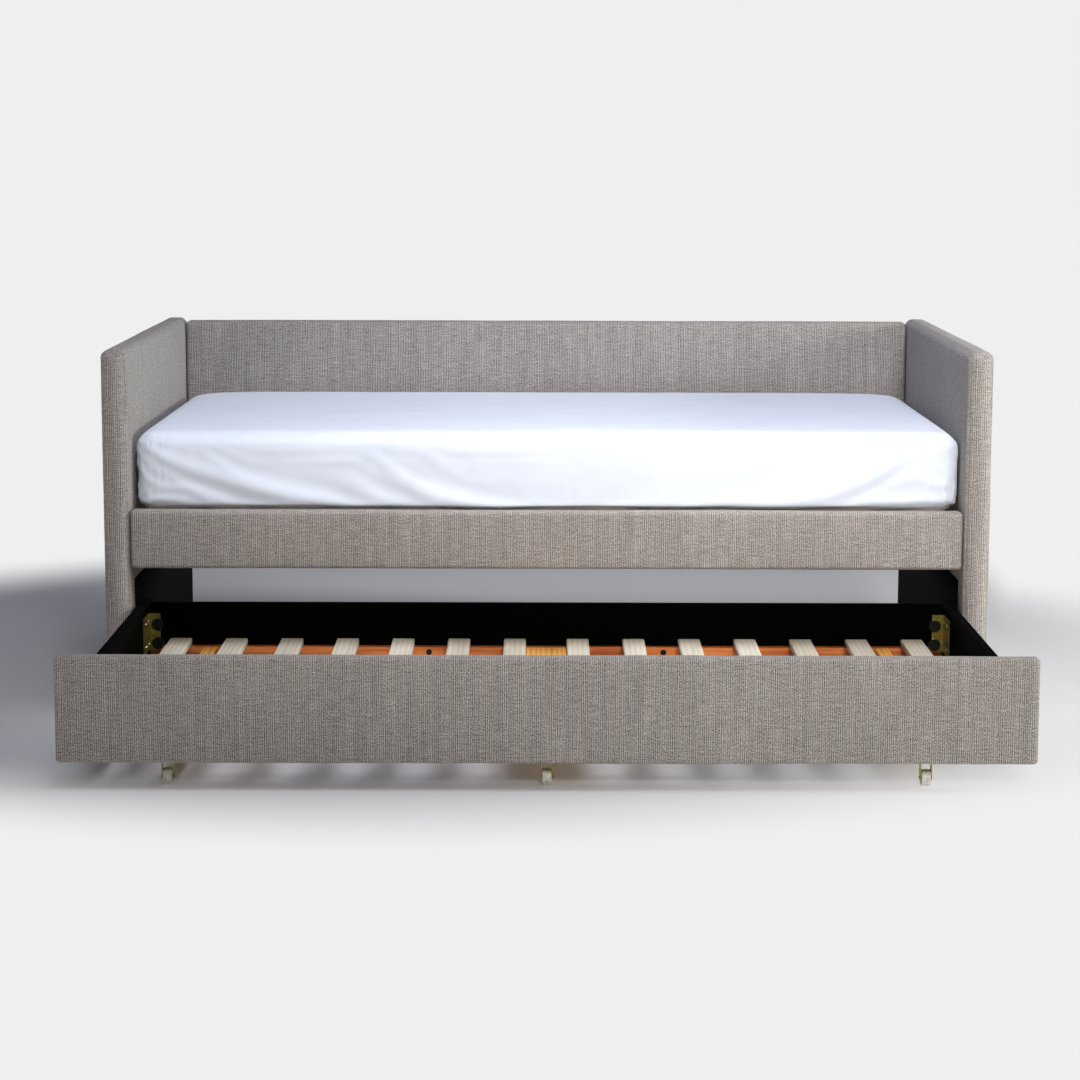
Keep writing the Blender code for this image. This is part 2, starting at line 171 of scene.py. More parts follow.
def upholstery():
    """Taupe cloth: fine upright ribs of uneven strength, broken by the weft."""
    f = Finish("taupe_rib_cloth", 0.92, specular_ior_level=0.2, sheen_weight=0.12,
               sheen_roughness=0.45)
    cloth = f.weave()
    ribs = f.bands(f.scaled(cloth, (1.0, 0.12, 1.0)), math.tau / 20 / RIB_PITCH, 1.4)
    strength = f.noise(f.scaled(cloth, (160.0, 11.0, 1.0)), 1.0, 2.0, 0.6)
    strength = f.ramp(strength, [(0.34, (0.05, 0.05, 0.05)), (0.66, (1.0, 1.0, 1.0))])
    grain = f.noise(f.scaled(cloth, (520.0, 340.0, 1.0)), 1.0, 1.0, 0.6)
    picks = f.noise(f.scaled(cloth, (26.0, 300.0, 1.0)), 1.0, 1.0, 0.5)
    tone = f.noise(f.scaled(cloth, (4.0, 2.5, 1.0)), 1.0, 2.0, 0.5)
    streaks = f.noise(f.scaled(cloth, (55.0, 3.0, 1.0)), 1.0, 2.0, 0.6)
    uneven = f.maths("MULTIPLY", f.maths("SUBTRACT", ribs, 0.5), strength)
    weave = f.maths("MULTIPLY_ADD", uneven, 0.34, f.maths("MULTIPLY", grain, 0.80))
    weave = f.maths("MULTIPLY_ADD", picks, 0.20, weave)
    base = f.ramp(weave, [(0.33, (0.098, 0.086, 0.077)), (0.50, (0.292, 0.267, 0.245)),
                          (0.67, (0.560, 0.524, 0.488))])
    shade = f.ramp(tone, [(0.30, (0.95, 0.95, 0.95)), (0.70, (1.04, 1.04, 1.03))])
    streak = f.ramp(streaks, [(0.32, (0.90, 0.90, 0.90)), (0.68, (1.08, 1.08, 1.08))])
    base = f.mixed(1.0, base, shade, "MULTIPLY")
    f.colour(f.mixed(1.0, base, streak, "MULTIPLY"))
    f.relief(weave, 0.0007, 0.7)
    return f.material


def black_cloth():
    """Black non-woven lining: short pressed fibres, a little dusty."""
    f = Finish("black_nonwoven", 0.97, specular_ior_level=0.02)
    place = f.place()
    fibre = f.noise(place, 900.0, 2.0, 0.6)
    dust = f.noise(place, 9.0, 4.0, 0.6)
    base = f.ramp(fibre, [(0.35, (0.0004, 0.0004, 0.0005)), (0.70, (0.0018, 0.0018, 0.0018))])
    f.colour(f.mixed(f.maths("MULTIPLY", dust, 0.03), base, (0.016, 0.015, 0.014, 1.0)))
    f.relief(fibre, 0.0006, 0.7)
    return f.material


def sheet_cotton():
    """White percale: smooth, with small pressed creases and gathers at its corners."""
    f = Finish("white_percale", 0.78, specular_ior_level=0.30, sheen_weight=0.10,
               sheen_roughness=0.4)
    place = f.place()
    low, high = (Vector(corner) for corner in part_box("fitted_sheet"))
    weave = f.noise(place, 1400.0, 1.0, 0.5)
    crease_and_painted_shade = f.noise(f.scaled(place, (9.0, 22.0, 14.0)), 1.0, 3.0, 0.55)
    # The colour follows the crease height: the hollows of the creases are painted darker, as
    # painted shade.
    f.colour(f.ramp(crease_and_painted_shade, [(0.35, (0.775, 0.835, 0.925)), (0.65, (0.815, 0.870, 0.950))]))
    from_middle = f.add("VectorMath", {0: place, 1: (low + high) / 2}, operation="SUBTRACT")
    folded = f.add("VectorMath", {0: from_middle.outputs[0]}, operation="ABSOLUTE").outputs[0]
    from_corner = f.add("VectorMath", {0: folded, 1: (high - low) / 2}, operation="SUBTRACT")
    reach = f.add("VectorMath", {0: f.scaled(from_corner.outputs[0], (8.0, 8.0, 0.0))},
                  operation="LENGTH")
    near = f.add("MapRange", {"Value": reach.outputs["Value"], "From Min": 0.0, "From Max": 1.0,
                              "To Min": 1.0, "To Max": 0.0}, interpolation_type="SMOOTHSTEP")
    gathers = f.noise(f.scaled(place, (75.0, 75.0, 17.0)), 1.0, 2.0, 0.5)
    gathers = f.maths("MULTIPLY", gathers, near.outputs["Result"])
    height = f.maths("MULTIPLY_ADD", gathers, 22.0, f.maths("MULTIPLY_ADD", crease_and_painted_shade, 6.0, weave))
    f.relief(height, 0.0003, 0.6)
    return f.material


def ticking():
    """Off-white knitted mattress cover with a small quilted diamond."""
    f = Finish("knitted_ticking", 0.9, specular_ior_level=0.2, sheen_weight=0.1)
    place = f.place()
    knit = f.noise(place, 700.0, 1.0, 0.5)
    turned = f.add("VectorRotate", {"Vector": place, "Angle": math.radians(45)})
    quilt = f.maths("MULTIPLY", f.bands(turned.outputs[0], 4.0),
                    f.bands(turned.outputs[0], 4.0, axis="Y"))
    f.colour(f.ramp(knit, [(0.3, (0.70, 0.69, 0.66)), (0.7, (0.82, 0.81, 0.78))]))
    f.relief(f.maths("MULTIPLY_ADD", quilt, 3.0, knit), 0.001, 0.6)
    return f.material


def wood(name, dark, middle, light, along, rings=26.0, roughness=0.6):
    """Planed wood with its grain along X or Y, darker growth lines and fine pores."""
    f = Finish(name, roughness, specular_ior_level=0.35)
    stretch = {"X": (1.6, 34.0, 34.0), "Y": (34.0, 1.6, 34.0)}[along]
    place = f.place()
    grain = f.scaled(place, stretch)
    figure = f.noise(grain, 1.0, 4.0, 0.6)
    pores = f.noise(f.scaled(grain, (9.0, 9.0, 9.0)), 1.0, 2.0, 0.7)
    lines = f.bands(grain, rings / 34.0, 3.0, "Y" if along == "X" else "X")
    mixed = f.maths("MULTIPLY_ADD", lines, 0.30, f.maths("MULTIPLY", figure, 0.70))
    base = f.ramp(mixed, [(0.25, dark), (0.50, middle), (0.78, light)])
    board_tone = f.noise(f.scaled(place, (7.3, 0.7, 3.0)), 1.0, 0.0, 0.5)
    tint = f.ramp(board_tone, [(0.35, (0.88, 0.86, 0.84)), (0.65, (1.05, 1.05, 1.05))])
    f.colour(f.mixed(1.0, base, tint, "MULTIPLY"))
    f.relief(f.maths("MULTIPLY_ADD", pores, 0.5, lines), 0.0005, 0.45)
    return f.material


def core_board():
    """Raw particle board."""
    f = Finish("raw_particle_board", 0.85, specular_ior_level=0.2)
    chips = f.add("TexVoronoi", {"Vector": f.place(), "Scale": 260.0})
    tone = f.noise(f.place(), 60.0, 3.0, 0.6)
    base = f.ramp(f.maths("MULTIPLY_ADD", chips.outputs["Distance"], 0.5, tone),
                  [(0.35, (0.26, 0.17, 0.09)), (0.65, (0.46, 0.33, 0.20)),
                   (0.9, (0.62, 0.48, 0.31))])
    f.colour(base)
    f.relief(chips.outputs["Distance"], 0.0006, 0.5)
    return f.material


def yellow_zinc():
    """Yellow passivated zinc: gold with green and rose patches, and fine scratches."""
    f = Finish("yellow_passivated_zinc", 0.34, metallic=1.0)
    place = f.place()
    patch = f.noise(place, 55.0, 3.0, 0.6)
    scratch = f.noise(f.scaled(place, (90.0, 900.0, 900.0)), 1.0, 2.0, 0.6)
    f.colour(f.ramp(patch, [(0.30, (0.42, 0.13, 0.09)), (0.43, (0.50, 0.32, 0.07)),
                            (0.55, (0.20, 0.30, 0.08)), (0.70, (0.60, 0.44, 0.14))]))
    f.feed(f.shader.inputs["Roughness"], f.maths("MULTIPLY_ADD", scratch, 0.25, 0.22))
    f.relief(scratch, 0.0002, 0.3)
    return f.material


def wheel_nylon():
    """Off-white moulded nylon, with grime on the tread."""
    f = Finish("cast_nylon", 0.42, specular_ior_level=0.5, subsurface_weight=0.15,
               subsurface_scale=0.004)
    place = f.place()
    grime = f.noise(place, 160.0, 4.0, 0.65)
    f.colour(f.ramp(grime, [(0.30, (0.44, 0.41, 0.35)), (0.52, (0.70, 0.68, 0.61)),
                            (0.75, (0.80, 0.78, 0.72))]))
    f.relief(f.noise(place, 700.0, 2.0, 0.5), 0.0002, 0.4)
    return f.material


def plain_finish(name, low, high, roughness, metallic=0.0, scale=400.0):
    """A moulded or coated surface with a fine mottled grain."""
    f = Finish(name, roughness, metallic=metallic)
    grain = f.noise(f.place(), scale, 2.0, 0.5)
    f.colour(f.ramp(grain, [(0.35, low), (0.65, high)]))
    f.relief(grain, 0.0002, 0.4)
    return f.material


def studio_floor():
    """A pale sweep: matt round the bed, lit evenly further out."""
    f = Finish("pale_floor", 0.9, specular_ior_level=0.05)
    place = f.place()
    from_bed = f.add("VectorMath", {0: place, 1: (0.3, -0.6, 0.0)}, operation="ADD").outputs[0]
    reach = f.add("VectorMath", {0: f.scaled(from_bed, (1 / 2.3, 1 / 2.0, 0.0))},
                  operation="LENGTH")
    near = f.add("MapRange", {"Value": reach.outputs["Value"], "From Min": 0.68, "From Max": 1.0,
                              "To Min": 1.0, "To Max": 0.0}, interpolation_type="SMOOTHSTEP")
    apart = f.add("SeparateXYZ", {"Vector": place}).outputs
    shaded = f.add("MapRange", {"Value": f.maths("ABSOLUTE", apart["X"]), "From Min": 1.25,
                                "From Max": 1.45, "To Min": 1.0, "To Max": 0.0},
                   interpolation_type="SMOOTHSTEP")
    behind = f.add("MapRange", {"Value": apart["Y"], "From Min": 3.2, "From Max": 4.4,
                                "To Min": 1.0, "To Max": 0.0}, interpolation_type="SMOOTHSTEP")
    facing = f.maths("GREATER_THAN", apart["Y"], 0.0)
    behind = f.maths("MULTIPLY", f.maths("MULTIPLY", behind.outputs["Result"], facing),
                     shaded.outputs["Result"])
    near = f.maths("MAXIMUM", near.outputs["Result"], behind)
    f.colour(f.mixed(near, (0.0, 0.0, 0.0, 1.0), (*FLOOR_MATT, 1.0)))
    f.feed(f.shader.inputs["Emission Color"], (1.0, 1.0, 1.0, 1.0))
    glow = f.maths("MULTIPLY_ADD", near, -BACKDROP, BACKDROP)
    f.feed(f.shader.inputs["Emission Strength"], glow)
    return f.material


CLOTH = upholstery()
BLACK = black_cloth()
COTTON = sheet_cotton()
TICKING = ticking()
SLAT_WOOD = wood("pale_birch", (0.60, 0.55, 0.45), (0.71, 0.66, 0.54), (0.77, 0.72, 0.61), "Y")
PLATFORM_WOOD = wood("pale_pine_roll", (0.45, 0.33, 0.18), (0.62, 0.48, 0.29),
                     (0.72, 0.58, 0.38), "Y")
LEDGER_WOOD = wood("brown_ledger", (0.19, 0.042, 0.010), (0.37, 0.085, 0.019),
                   (0.85, 0.280, 0.070), "X", 60.0, 0.5)
PINE = wood("golden_pine", (0.62, 0.27, 0.055), (0.92, 0.47, 0.095), (0.97, 0.60, 0.17), "Y")
LEDGER_PINE = wood("pine_batten", (0.48, 0.30, 0.13), (0.70, 0.48, 0.24),
                   (0.80, 0.60, 0.34), "X")
BOARD = core_board()
ZINC = yellow_zinc()
NYLON = wheel_nylon()
BOLT = plain_finish("blackened_steel", (0.010, 0.010, 0.010), (0.028, 0.027, 0.026), 0.35, 0.8)
PLASTIC = plain_finish("black_plastic", (0.012, 0.012, 0.012), (0.022, 0.022, 0.022), 0.45)
THREAD = plain_finish("taupe_thread", (0.20, 0.18, 0.16), (0.42, 0.39, 0.35), 0.8)
SCREW = plain_finish("bright_screw", (0.62, 0.58, 0.48), (0.80, 0.77, 0.68), 0.25, 1.0)


def finish_cad_node(name, material, smooth=False):
    mesh = NODES[name].data
    mesh.materials.clear()
    mesh.materials.append(material)
    if smooth:
        mesh.shade_smooth()
        mesh.set_sharp_from_angle(angle=math.radians(35))


# ---------------------------------------------------------------- meshes

def new_piece(name, points, faces, material, body):
    mesh = bpy.data.meshes.new(name)
    mesh.from_pydata([tuple(p) for p in points], [], faces)
    mesh.materials.append(material)
    mesh.shade_smooth()
    piece = bpy.data.objects.new(name, mesh)
    bpy.context.scene.collection.objects.link(piece)
    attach(piece, body)
    return piece


def ticks(half, radius, cell, seams=()):
    """Grid lines from -half to half: close round the edges and at each seam."""
    bends = [radius * math.tan(math.radians(a)) for a in (15, 30, 45)]
    flat = half - radius
    count = max(2, round(2 * flat / cell))
    lines = list(np.linspace(-flat, flat, count + 1))
    lines += [flat + b for b in bends] + [-flat - b for b in bends]
    for at, width in seams:
        lines = [x for x in lines if abs(x - at) > 1.2 * width or abs(abs(x) - half) < 1e-6]
        lines += [at + k * width for k in (-1.0, -0.5, 0.0, 0.5, 1.0) if abs(at + k * width) < half]
    return sorted(set(round(x, 6) for x in lines))


class Pad:
    """A rounded block on a grid: points on its surface, with normals and cloth lengths."""

    def __init__(self, low, high, radius, cell=CELL, rib_axis=0, seams=None, skip=()):
        self.centre = (np.array(low) + np.array(high)) / 2
        self.half = (np.array(high) - np.array(low)) / 2
        self.radius = radius
        seams = seams or {}
        lines = [ticks(self.half[a], radius, cell, seams.get(a, ())) for a in range(3)]
        corners, quads, cloth = [], [], []
        start = 0
        for axis in range(3):
            for side in (-1, 1):
                if (axis, side) in skip:
                    continue
                a, b = [k for k in range(3) if k != axis]
                grid = np.zeros((len(lines[a]), len(lines[b]), 3))
                grid[:, :, axis] = side * self.half[axis]
                grid[:, :, a] = np.array(lines[a])[:, None]
                grid[:, :, b] = np.array(lines[b])[None, :]
                rows, columns = grid.shape[:2]
                across, along = self.cloth_axes(axis, rib_axis)
                corners.append(grid.reshape(-1, 3))
                cloth.append(grid.reshape(-1, 3)[:, (across, along)])
                index = start + np.arange(rows * columns).reshape(rows, columns)
                loop = [index[:-1, :-1], index[1:, :-1], index[1:, 1:], index[:-1, 1:]]
                # a, b run in axis order, so Y faces turn the other way round
                if (side > 0) == (axis == 1):
                    loop.reverse()
                quads.append(np.stack([x.ravel() for x in loop], axis=1))
                start += rows * columns
        corners = np.concatenate(corners)
        self.cloth = np.concatenate(cloth)
        self.loops = np.concatenate(quads)
        _, first, index = np.unique(np.round(corners, 5), axis=0, return_index=True,
                                    return_inverse=True)
        self.on_block = corners[first]
        self.faces = index.reshape(-1)[self.loops]
        inner = np.clip(self.on_block, -(self.half - radius), self.half - radius)
        away = self.on_block - inner
        self.normals = away / np.linalg.norm(away, axis=1)[:, None]
        self.points = inner + self.normals * radius

    @staticmethod
    def cloth_axes(axis, rib_axis):
        """The axes that lie across and along the ribs on a face."""
        if axis == 2:
            return rib_axis, 1 - rib_axis
        return 1 - axis, 2

    def from_edge(self):
        """Each point's distance to the edge of the face that it is on."""
        left = self.half - np.abs(self.on_block)
        return np.sort(left, axis=1)[:, 1]

    def push(self, amount):
        self.points = self.points + self.normals * np.asarray(amount)[:, None]

    def crown(self, height, width=CROWN_WIDTH):
        self.push(height * (1.0 - np.exp(-self.from_edge() / width)))

    def pillow(self, axis, height, width):
        """Swell both faces across an axis, most in their middle."""
        face = np.abs(np.abs(self.on_block[:, axis]) - self.half[axis]) < 1e-6
        self.push(face * height * (1.0 - np.exp(-(self.from_edge() / width) ** 1.5)))

    def ripple(self, height, scale, seed):
        """Soft noise, scale being waves to the metre along each axis."""
        shift = Vector((seed * 13.7, seed * 7.3, seed * 3.1))
        scale = Vector(scale)
        self.push([height * noise.noise(Vector(p) * scale + shift) for p in self.on_block])

    def groove(self, axis, at, width, depth):
        near = np.abs(self.on_block[:, axis] - at) / width
        self.push(-depth * np.exp(-(near * 1.6) ** 2))

    def piece(self, name, material, body, slot):
        made = new_piece(name, self.points + self.centre, self.faces.tolist(), material, body)
        layer = made.data.uv_layers.new(name="weave")
        layer.data.foreach_set("uv", self.cloth[self.loops.ravel()].astype(np.float32).ravel())
        return made


def skin_of(node, rise):
    """A cover's box, drawn in by the crown that its pad adds."""
    low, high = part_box(node)
    return [v + rise for v in low], [v - rise for v in high]


# ---------------------------------------------------------------- upholstery

def make_arm(side, number):
    """An arm's wrap and its boxed front panel, with the seam round the front."""
    node = f"{side}_arm_cover"
    rise = 0.0030
    low, high = skin_of(node, rise)
    low[2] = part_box(node)[0][2]
    half_depth = (high[1] - low[1]) / 2
    seam = -half_depth + SEAM_FROM_FRONT
    seams = {1: [(seam, 0.0022), (-seam, 0.0022)]}
    pad = Pad(low, high, ARM_EDGE, rib_axis=1, seams=seams)
    pad.crown(rise)
    pad.pillow(1, ARM_PILLOW, 0.018)
    pad.ripple(0.0011, (3.0, 3.0, 4.0), number)
    pad.ripple(0.0005, (11.0, 11.0, 9.0), number + 5)
    for at in (seam, -seam):
        pad.groove(1, at, 0.0024, 0.0026)
    piece = pad.piece(f"{side}_arm_upholstery", CLOTH, DAYBED, "taupe_fabric")
    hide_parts(node)
    make_seam_stitches(side, low, high)


def make_seam_stitches(side, low, high):
    """The row of stitches that shows where the front panel is sewn in."""
    inset = 0.0024
    radius = ARM_EDGE
    left, right = low[0] + inset, high[0] - inset
    bottom, top = low[2] + 0.012, high[2] - inset
    path = [(left, bottom), (left, top - radius)]
    for step in range(1, 6):
        angle = math.radians(180 - 18 * step)
        path.append((left + radius + radius * math.cos(angle),
                     top - radius + radius * math.sin(angle)))
    for step in range(0, 6):
        angle = math.radians(90 - 18 * step)
        path.append((right - radius + radius * math.cos(angle),
                     top - radius + radius * math.sin(angle)))
    path.append((right, bottom))
    stitch_row(f"{side}_arm_seam_stitches", [(x, low[1] + 0.0010, z) for x, z in path], 0.0046)


def stitch_row(name, path, pitch, length=0.0030, thickness=0.0008):
    """Small rounded stitches along a path, as one piece."""
    points, faces = [], []
    path = [Vector(p) for p in path]
    travelled, target = 0.0, pitch / 2
    for a, b in zip(path, path[1:]):
        run = (b - a).length
        if run < 1e-9:
            continue
        along = (b - a) / run
        side = along.orthogonal().normalized()
        up = along.cross(side)
        while target <= travelled + run:
            middle = a + along * (target - travelled)
            base = len(points)
            for share, width in ((-0.5, 0.35), (-0.25, 1.0), (0.25, 1.0), (0.5, 0.35)):
                for k in range(6):
                    angle = math.radians(60 * k)
                    off = side * math.cos(angle) + up * math.sin(angle)
                    points.append(middle + along * length * share + off * thickness / 2 * width)
            for ring in range(3):
                for k in range(6):
                    here, after = base + 6 * ring + k, base + 6 * ring + (k + 1) % 6
                    faces.append((here, after, after + 6, here + 6))
            faces.append(tuple(base + k for k in reversed(range(6))))
            faces.append(tuple(base + 18 + k for k in range(6)))
            target += pitch
        travelled += run
    return new_piece(name, points, faces, THREAD, DAYBED)


def make_panel(name, node, body, number, rise, board=None):
    """A padded board, whose wrap stays inside the bare board that closes its back."""
    low, high = skin_of(node, rise)
    pad = Pad(low, high, PANEL_EDGE)
    pad.crown(rise)
    pad.ripple(0.0012, (2.5, 3.0, 4.0), number)
    pad.ripple(0.0005, (12.0, 10.0, 10.0), number + 5)
    if board:
        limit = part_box(board)[1][1] - BOARD_PROUD - pad.centre[1]
        pad.points[:, 1] = np.minimum(pad.points[:, 1], limit)
    piece = pad.piece(name, CLOTH, body, "taupe_fabric")
    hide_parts(node)


# ---------------------------------------------------------------- mattress and sheet

def mattress_form(pad):
    """The soft block's own shape: a low crown, sagging far corners and a soft front edge."""
    half = pad.half
    x, y, z = (pad.on_block[:, k] for k in range(3))
    from_end, from_side = half[0] - np.abs(x), half[1] - np.abs(y)
    on_top = np.clip(z / half[2], 0.0, 1.0) ** 2
    back = (y / half[1] + 1.0) / 2.0
    end_droop = FRONT_END_DROOP + (BACK_END_DROOP - FRONT_END_DROOP) * back
    droop = end_droop * np.exp(-from_end / 0.060)
    droop += (FRONT_DROOP * (1.0 - back) * np.exp(-from_side / 0.050)
              * (1.0 - np.exp(-from_end / 0.10)))
    corner = np.hypot(from_end, from_side)
    pad.points[:, 2] -= on_top * droop
    pad.push(-CORNER_PULL * np.exp(-(corner / 0.055) ** 2))
    pad.push(0.004 * (1.0 - np.exp(-pad.from_edge() / 0.12)))
    bulge = END_BULGE * np.exp(-from_end / 0.030) * (1.0 - (z / half[2]) ** 2)
    pad.points[:, 0] += np.sign(x) * (x > 0) * bulge


def make_mattress():
    low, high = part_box("mattress")
    sheet_low, sheet_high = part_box("fitted_sheet")
    inset = SHEET_GAP + 0.004
    low = [max(a, b + inset) for a, b in zip(low, sheet_low)]
    high = [min(a, b - inset) for a, b in zip(high, sheet_high)]
    pad = Pad(low, high, MATTRESS_ROUNDING, 0.02)
    mattress_form(pad)
    piece = pad.piece("quilted_mattress", TICKING, DAYBED, "mattress_ticking")
    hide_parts("mattress")
    return piece


def sheet_folds(pad):
    """Slack across the top, gathers at the corners, and a hem that turns under."""
    half = pad.half
    amounts = []
    for x, y, z in pad.on_block:
        drop = (half[2] - z) / (2 * half[2])
        v = Vector((x, y, z))
        slack = 0.0026 * noise.noise(v * 2.6 + Vector((3, 1, 7)))
        slack += 0.0012 * noise.noise(Vector((x * 5.0, y * 13.0, z * 9.0)) + Vector((9, 4, 2)))
        corner = math.hypot(half[0] - abs(x), half[1] - abs(y))
        pull = math.exp(-((corner / 0.13) ** 2))
        slack += 0.0022 * pull * noise.noise(v * 34.0)
        along = x if half[1] - abs(y) < half[0] - abs(x) else y
        lower = max(0.0, drop - 0.55) / 0.45
        gather = math.sin(math.tau * along / 0.026 + 5.0 * noise.noise(v * 9.0))
        slack += 0.0022 * pull * lower * gather
        slack += 0.0035 * lower * noise.noise(Vector((x * 7.0, y * 7.0, 5.0)))
        slack -= 0.006 * lower ** 3
        amounts.append(slack)
    pad.push(amounts)


def settle(cloth, pinned, support):
    """Let the slack fall over the mattress while the hem stays tucked."""
    cloth.vertex_groups.new(name="tucked").add(pinned, 1.0, "REPLACE")
    support.modifiers.new("firm", "COLLISION")
    support.collision.thickness_outer = 0.0015
    support.collision.cloth_friction = 18.0
    fabric = cloth.modifiers.new("slack", "CLOTH")
    settings = fabric.settings
    settings.quality = 5
    settings.mass = 0.12
    settings.tension_stiffness = settings.compression_stiffness = 25.0
    settings.shear_stiffness = 8.0
    settings.bending_stiffness = 0.06
    settings.air_damping = 3.0
    settings.shrink_min = -SHEET_SLACK
    settings.vertex_group_mass = "tucked"
    fabric.collision_settings.collision_quality = 2
    fabric.collision_settings.distance_min = 0.0015
    scene = bpy.context.scene
    for step in range(1, SETTLING_STEPS + 1):
        scene.frame_set(step)
    settled = cloth.evaluated_get(bpy.context.evaluated_depsgraph_get())
    mesh = bpy.data.meshes.new_from_object(settled)
    cloth.modifiers.remove(fabric)
    cloth.data = mesh
    support.modifiers.remove(support.modifiers["firm"])
    scene.frame_set(1)


def keep_between_arms(cloth):
    """Press the ends flat where they meet the arms."""
    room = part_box("right_arm_cover")[0][0] - 0.0012
    for vertex in cloth.data.vertices:
        vertex.co.x = min(max(vertex.co.x, -room), room)


def make_sheet(mattress):
    low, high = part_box("fitted_sheet")
    pad = Pad(low, high, MATTRESS_ROUNDING + 0.003, SHEET_CELL, skip=((2, -1),))
    mattress_form(pad)
    sheet_folds(pad)
    piece = pad.piece("white_fitted_sheet", COTTON, DAYBED, "white_cotton")
    hem = np.nonzero(pad.on_block[:, 2] < -pad.half[2] * 0.8)[0].tolist()
    settle(piece, hem, mattress)
    smooth = piece.modifiers.new("smooth", "SUBSURF")
    smooth.levels = smooth.render_levels = 1
    cloth = piece.modifiers.new("cloth", "SOLIDIFY")
    cloth.thickness = 0.0009
    cloth.offset = -1.0
    keep_between_arms(piece)
    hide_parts("fitted_sheet")


# ---------------------------------------------------------------- fasteners

def screw_head(name, centre, out, radius, height, material):
    """A domed head with a sunk socket, that stands out along a direction."""
    rings = [(1.0, 0.0), (1.0, 0.25), (0.86, 0.70), (0.62, 0.94), (0.42, 1.0), (0.40, 0.45)]
    sides = 24
    out = Vector(out)
    across = out.orthogonal().normalized()
    up = out.cross(across)
    points, faces = [], []
    for share, rise in rings:
        for k in range(sides):
            angle = math.tau * k / sides
            spoke = across * math.cos(angle) + up * math.sin(angle)
            points.append(Vector(centre) + spoke * radius * share + out * height * rise)
    for ring in range(len(rings) - 1):
        for k in range(sides):
            here, after = ring * sides + k, ring * sides + (k + 1) % sides
            faces.append((here, after, after + sides, here + sides))
    last = (len(rings) - 1) * sides
    faces.append(tuple(last + k for k in range(sides)))
    faces.append(tuple(reversed(range(sides))))
    return new_piece(name, points, faces, material, TRUNDLE)


def make_screws():
    for side, sign in (("left", -1), ("right", 1)):
        low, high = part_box(f"ledger_bolt_{side}")
        centre = ((low[0] + high[0]) / 2, high[1], (low[2] + high[2]) / 2)
        bolt = screw_head(f"ledger_button_bolt_{side}", centre, (0, -1, 0),
                          (high[0] - low[0]) / 2, high[1] - low[1], BOLT)
        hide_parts(f"ledger_bolt_{side}")
        low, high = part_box(f"{side}_bed_bracket")
        flange = (low if sign < 0 else high)[0] - sign * BRACKET_PLATE
        for row, height in enumerate((0.017, 0.072)):
            for column, reach in enumerate((0.018, 0.055)):
                screw_head(f"{side}_bracket_screw_{row}_{column}",
                           (flange, high[1] - reach, low[2] + height), (-sign, 0, 0),
                           0.0040, 0.0022, SCREW)


# ---------------------------------------------------------------- carried-over CAD nodes

def finish_bracket(name):
    """Zinc plate, with its two knobs in black."""
    finish_cad_node(name, ZINC, True)
    mesh = NODES[name].data
    mesh.materials.append(BOLT)
    plate_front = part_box(name)[1][1] - BRACKET_PLATE
    for face in mesh.polygons:
        ahead = plate_front - face.center.y
        inner = abs(face.center.x) < max(abs(v.co.x) for v in mesh.vertices) - 2 * BRACKET_PLATE
        face.material_index = int(ahead > 0.0002 and inner)


def finish_cad_nodes():
    for side in ("left", "right"):
        finish_cad_node(f"{side}_arm_frame", BOARD)
        finish_cad_node(f"{side}_arm_lining", BLACK)
        finish_cad_node(f"trundle_{side}_side", BLACK, True)
        finish_bracket(f"{side}_bed_bracket")
        for end in ("front", "back"):
            finish_cad_node(f"{side}_{end}_glide", PLASTIC, True)
    finish_cad_node("back_frame", BOARD)
    for node in ("trundle_back", "trundle_front_frame", "front_rail_frame"):
        finish_cad_node(node, BLACK, True)
    for node in ("front_ledger", "back_ledger"):
        finish_cad_node(node, LEDGER_PINE, True)
    for end in ("front", "back"):
        finish_cad_node(f"trundle_{end}_ledger", LEDGER_WOOD, True)
    finish_cad_node("daybed_slat_roll", PLATFORM_WOOD)
    for node in BODIES[TRUNDLE]:
        if node.startswith("trundle_slat_"):
            finish_cad_node(node, SLAT_WOOD, True)
        elif node.endswith("_caster_beam"):
            finish_cad_node(node, PINE, True)
        elif node.endswith("_caster_fork"):
            finish_cad_node(node, ZINC, True)
    for body in BODIES:
        if body.endswith("_wheel"):
            finish_cad_node(body, NYLON, True)


# ---------------------------------------------------------------- studio

def make_floor():
    mesh = bpy.data.meshes.new("studio_floor")
    corners = [(x * FLOOR_REACH, y * FLOOR_REACH, 0.0)
               for x, y in ((-1, -1), (1, -1), (1, 1), (-1, 1))]
    mesh.from_pydata(corners, [], [(0, 1, 2, 3)])
    mesh.materials.append(studio_floor())
    floor = bpy.data.objects.new("studio_floor", mesh)
    bpy.context.scene.collection.objects.link(floor)


def aim(item, target):
    direction = Vector(target) - item.location
    item.rotation_euler = direction.to_track_quat("-Z", "Y").to_euler()


def lamp(name, kind, place, target, power, colour, **settings):
    data = bpy.data.lights.new(name, kind)
    data.energy = power
    data.color = colour
    for key, value in settings.items():
        setattr(data, key, value)
    item = bpy.data.objects.new(name, data)
    item.location = place
    bpy.context.scene.collection.objects.link(item)
    aim(item, target)


def panel_lamp(name, place, target, size, power, colour, spread=180):
    lamp(name, "AREA", place, target, power, colour, shape="RECTANGLE", size=size[0],
         size_y=size[1], spread=math.radians(spread))


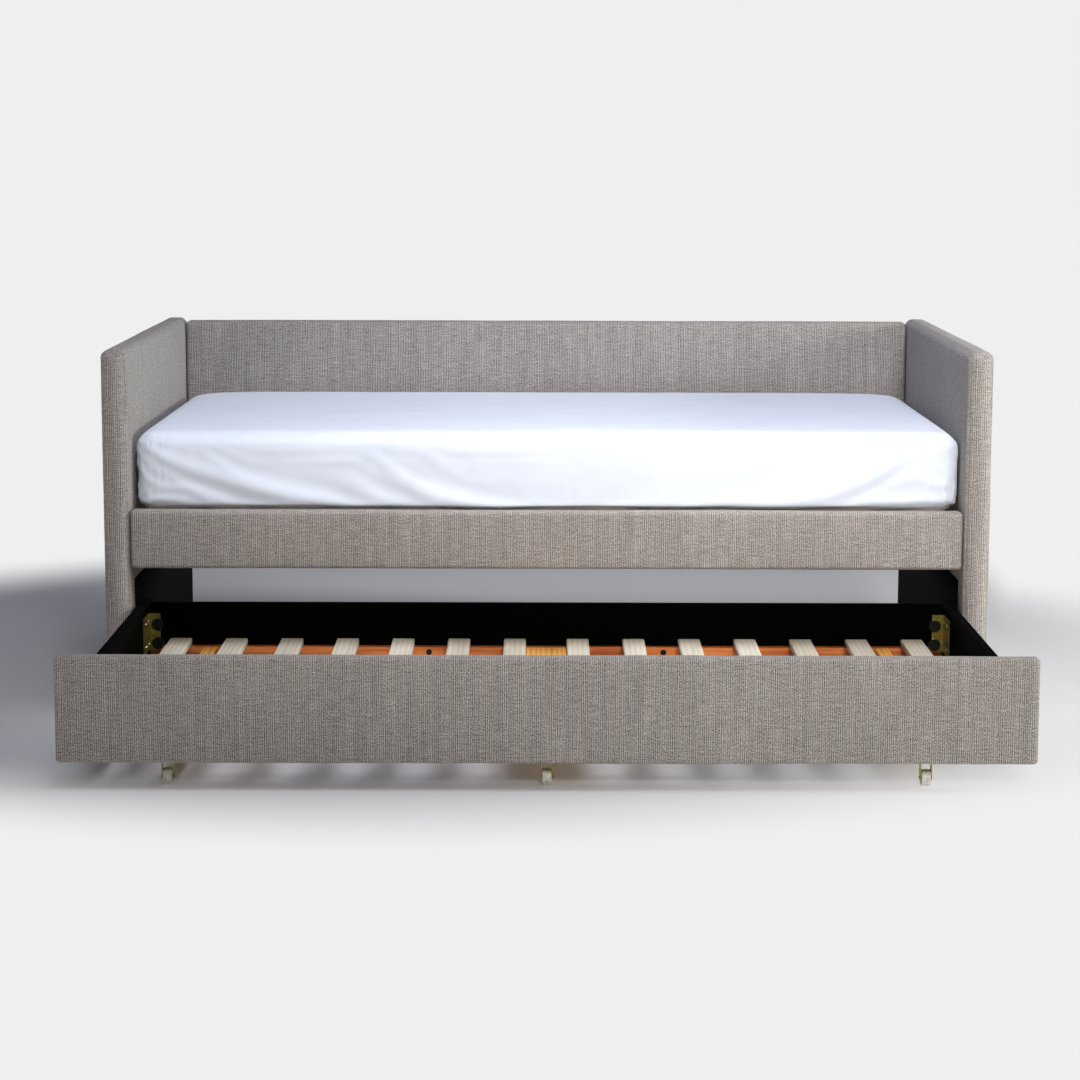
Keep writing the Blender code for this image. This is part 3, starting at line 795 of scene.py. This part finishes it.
def make_lights():
    lamp("front_light", "SPOT", (1.2, -6.0, 3.4), (0.8, 0.3, 0.55), 1180.0, (1.0, 0.955, 0.940),
         spot_size=math.radians(34), spot_blend=1.0, shadow_soft_size=0.9)
    panel_lamp("side_light", (5.5, -0.8, 1.9), (-1.0, -0.3, 0.2), (1.2, 1.0), 215.0,
               (0.945, 1.0, 0.93))
    panel_lamp("top_light", (0.3, -1.2, 3.6), (0.0, 0.35, 0.5), (2.6, 1.0), 11.5,
               (0.80, 0.82, 1.0), 70)
    panel_lamp("ceiling_light", (0.3, 0.3, 3.8), (0.0, 0.3, 0.4), (2.6, 1.6), 16.0,
               (0.76, 0.78, 1.0))
    panel_lamp("bay_light", (0.3, -1.7, 2.7), (0.15, -0.25, 0.15), (2.4, 0.5), 2.5,
               (1.0, 0.94, 0.90), 34)
    panel_lamp("back_light", (0.0, 5.6, 0.7), (0.0, 0.9, 0.50), (2.4, 0.6), 4.0,
               (1.0, 0.98, 0.96), 35)
    world = bpy.data.worlds.new("studio_world")
    bpy.context.scene.world = world
    world.use_nodes = True
    nodes, links = world.node_tree.nodes, world.node_tree.links
    nodes.clear()
    seen = nodes.new("ShaderNodeBackground")
    seen.inputs["Color"].default_value = (BACKDROP, BACKDROP, BACKDROP, 1.0)
    fill = nodes.new("ShaderNodeBackground")
    fill.name = "fill"
    fill.inputs["Color"].default_value = (0.90, 0.93, 1.0, 1.0)
    fill.inputs["Strength"].default_value = FILL_STRENGTH
    rays = nodes.new("ShaderNodeLightPath")
    mix = nodes.new("ShaderNodeMixShader")
    output = nodes.new("ShaderNodeOutputWorld")
    links.new(rays.outputs["Is Camera Ray"], mix.inputs[0])
    links.new(fill.outputs[0], mix.inputs[1])
    links.new(seen.outputs[0], mix.inputs[2])
    links.new(mix.outputs[0], output.inputs["Surface"])


def make_camera():
    data = bpy.data.cameras.new("photo_camera")
    data.lens = CAMERA_LENS
    data.sensor_width = 36.0
    data.clip_end = 200.0
    camera = bpy.data.objects.new("photo_camera", data)
    arms_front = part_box("left_arm_cover")[0][1]
    camera.location = (CAMERA_SIDE, arms_front - CAMERA_DISTANCE, CAMERA_HEIGHT)
    camera.rotation_euler = (math.pi / 2 - CAMERA_TILT, CAMERA_ROLL, 0.0)
    bpy.context.scene.collection.objects.link(camera)
    bpy.context.scene.camera = camera


make_camera()
make_floor()
make_lights()
bpy.context.scene.view_settings.view_transform = "Standard"
finish_cad_nodes()
for number, side in enumerate(("left", "right")):
    make_arm(side, number + 1)
make_panel("back_upholstery", "back_cover", DAYBED, 3, 0.0025)
make_panel("front_rail_upholstery", "front_rail_cover", DAYBED, 4, 0.0020,
           "front_rail_frame")
make_panel("trundle_front_upholstery", "trundle_front_cover", TRUNDLE, 5, 0.0020,
           "trundle_front_frame")
make_sheet(make_mattress())
make_screws()
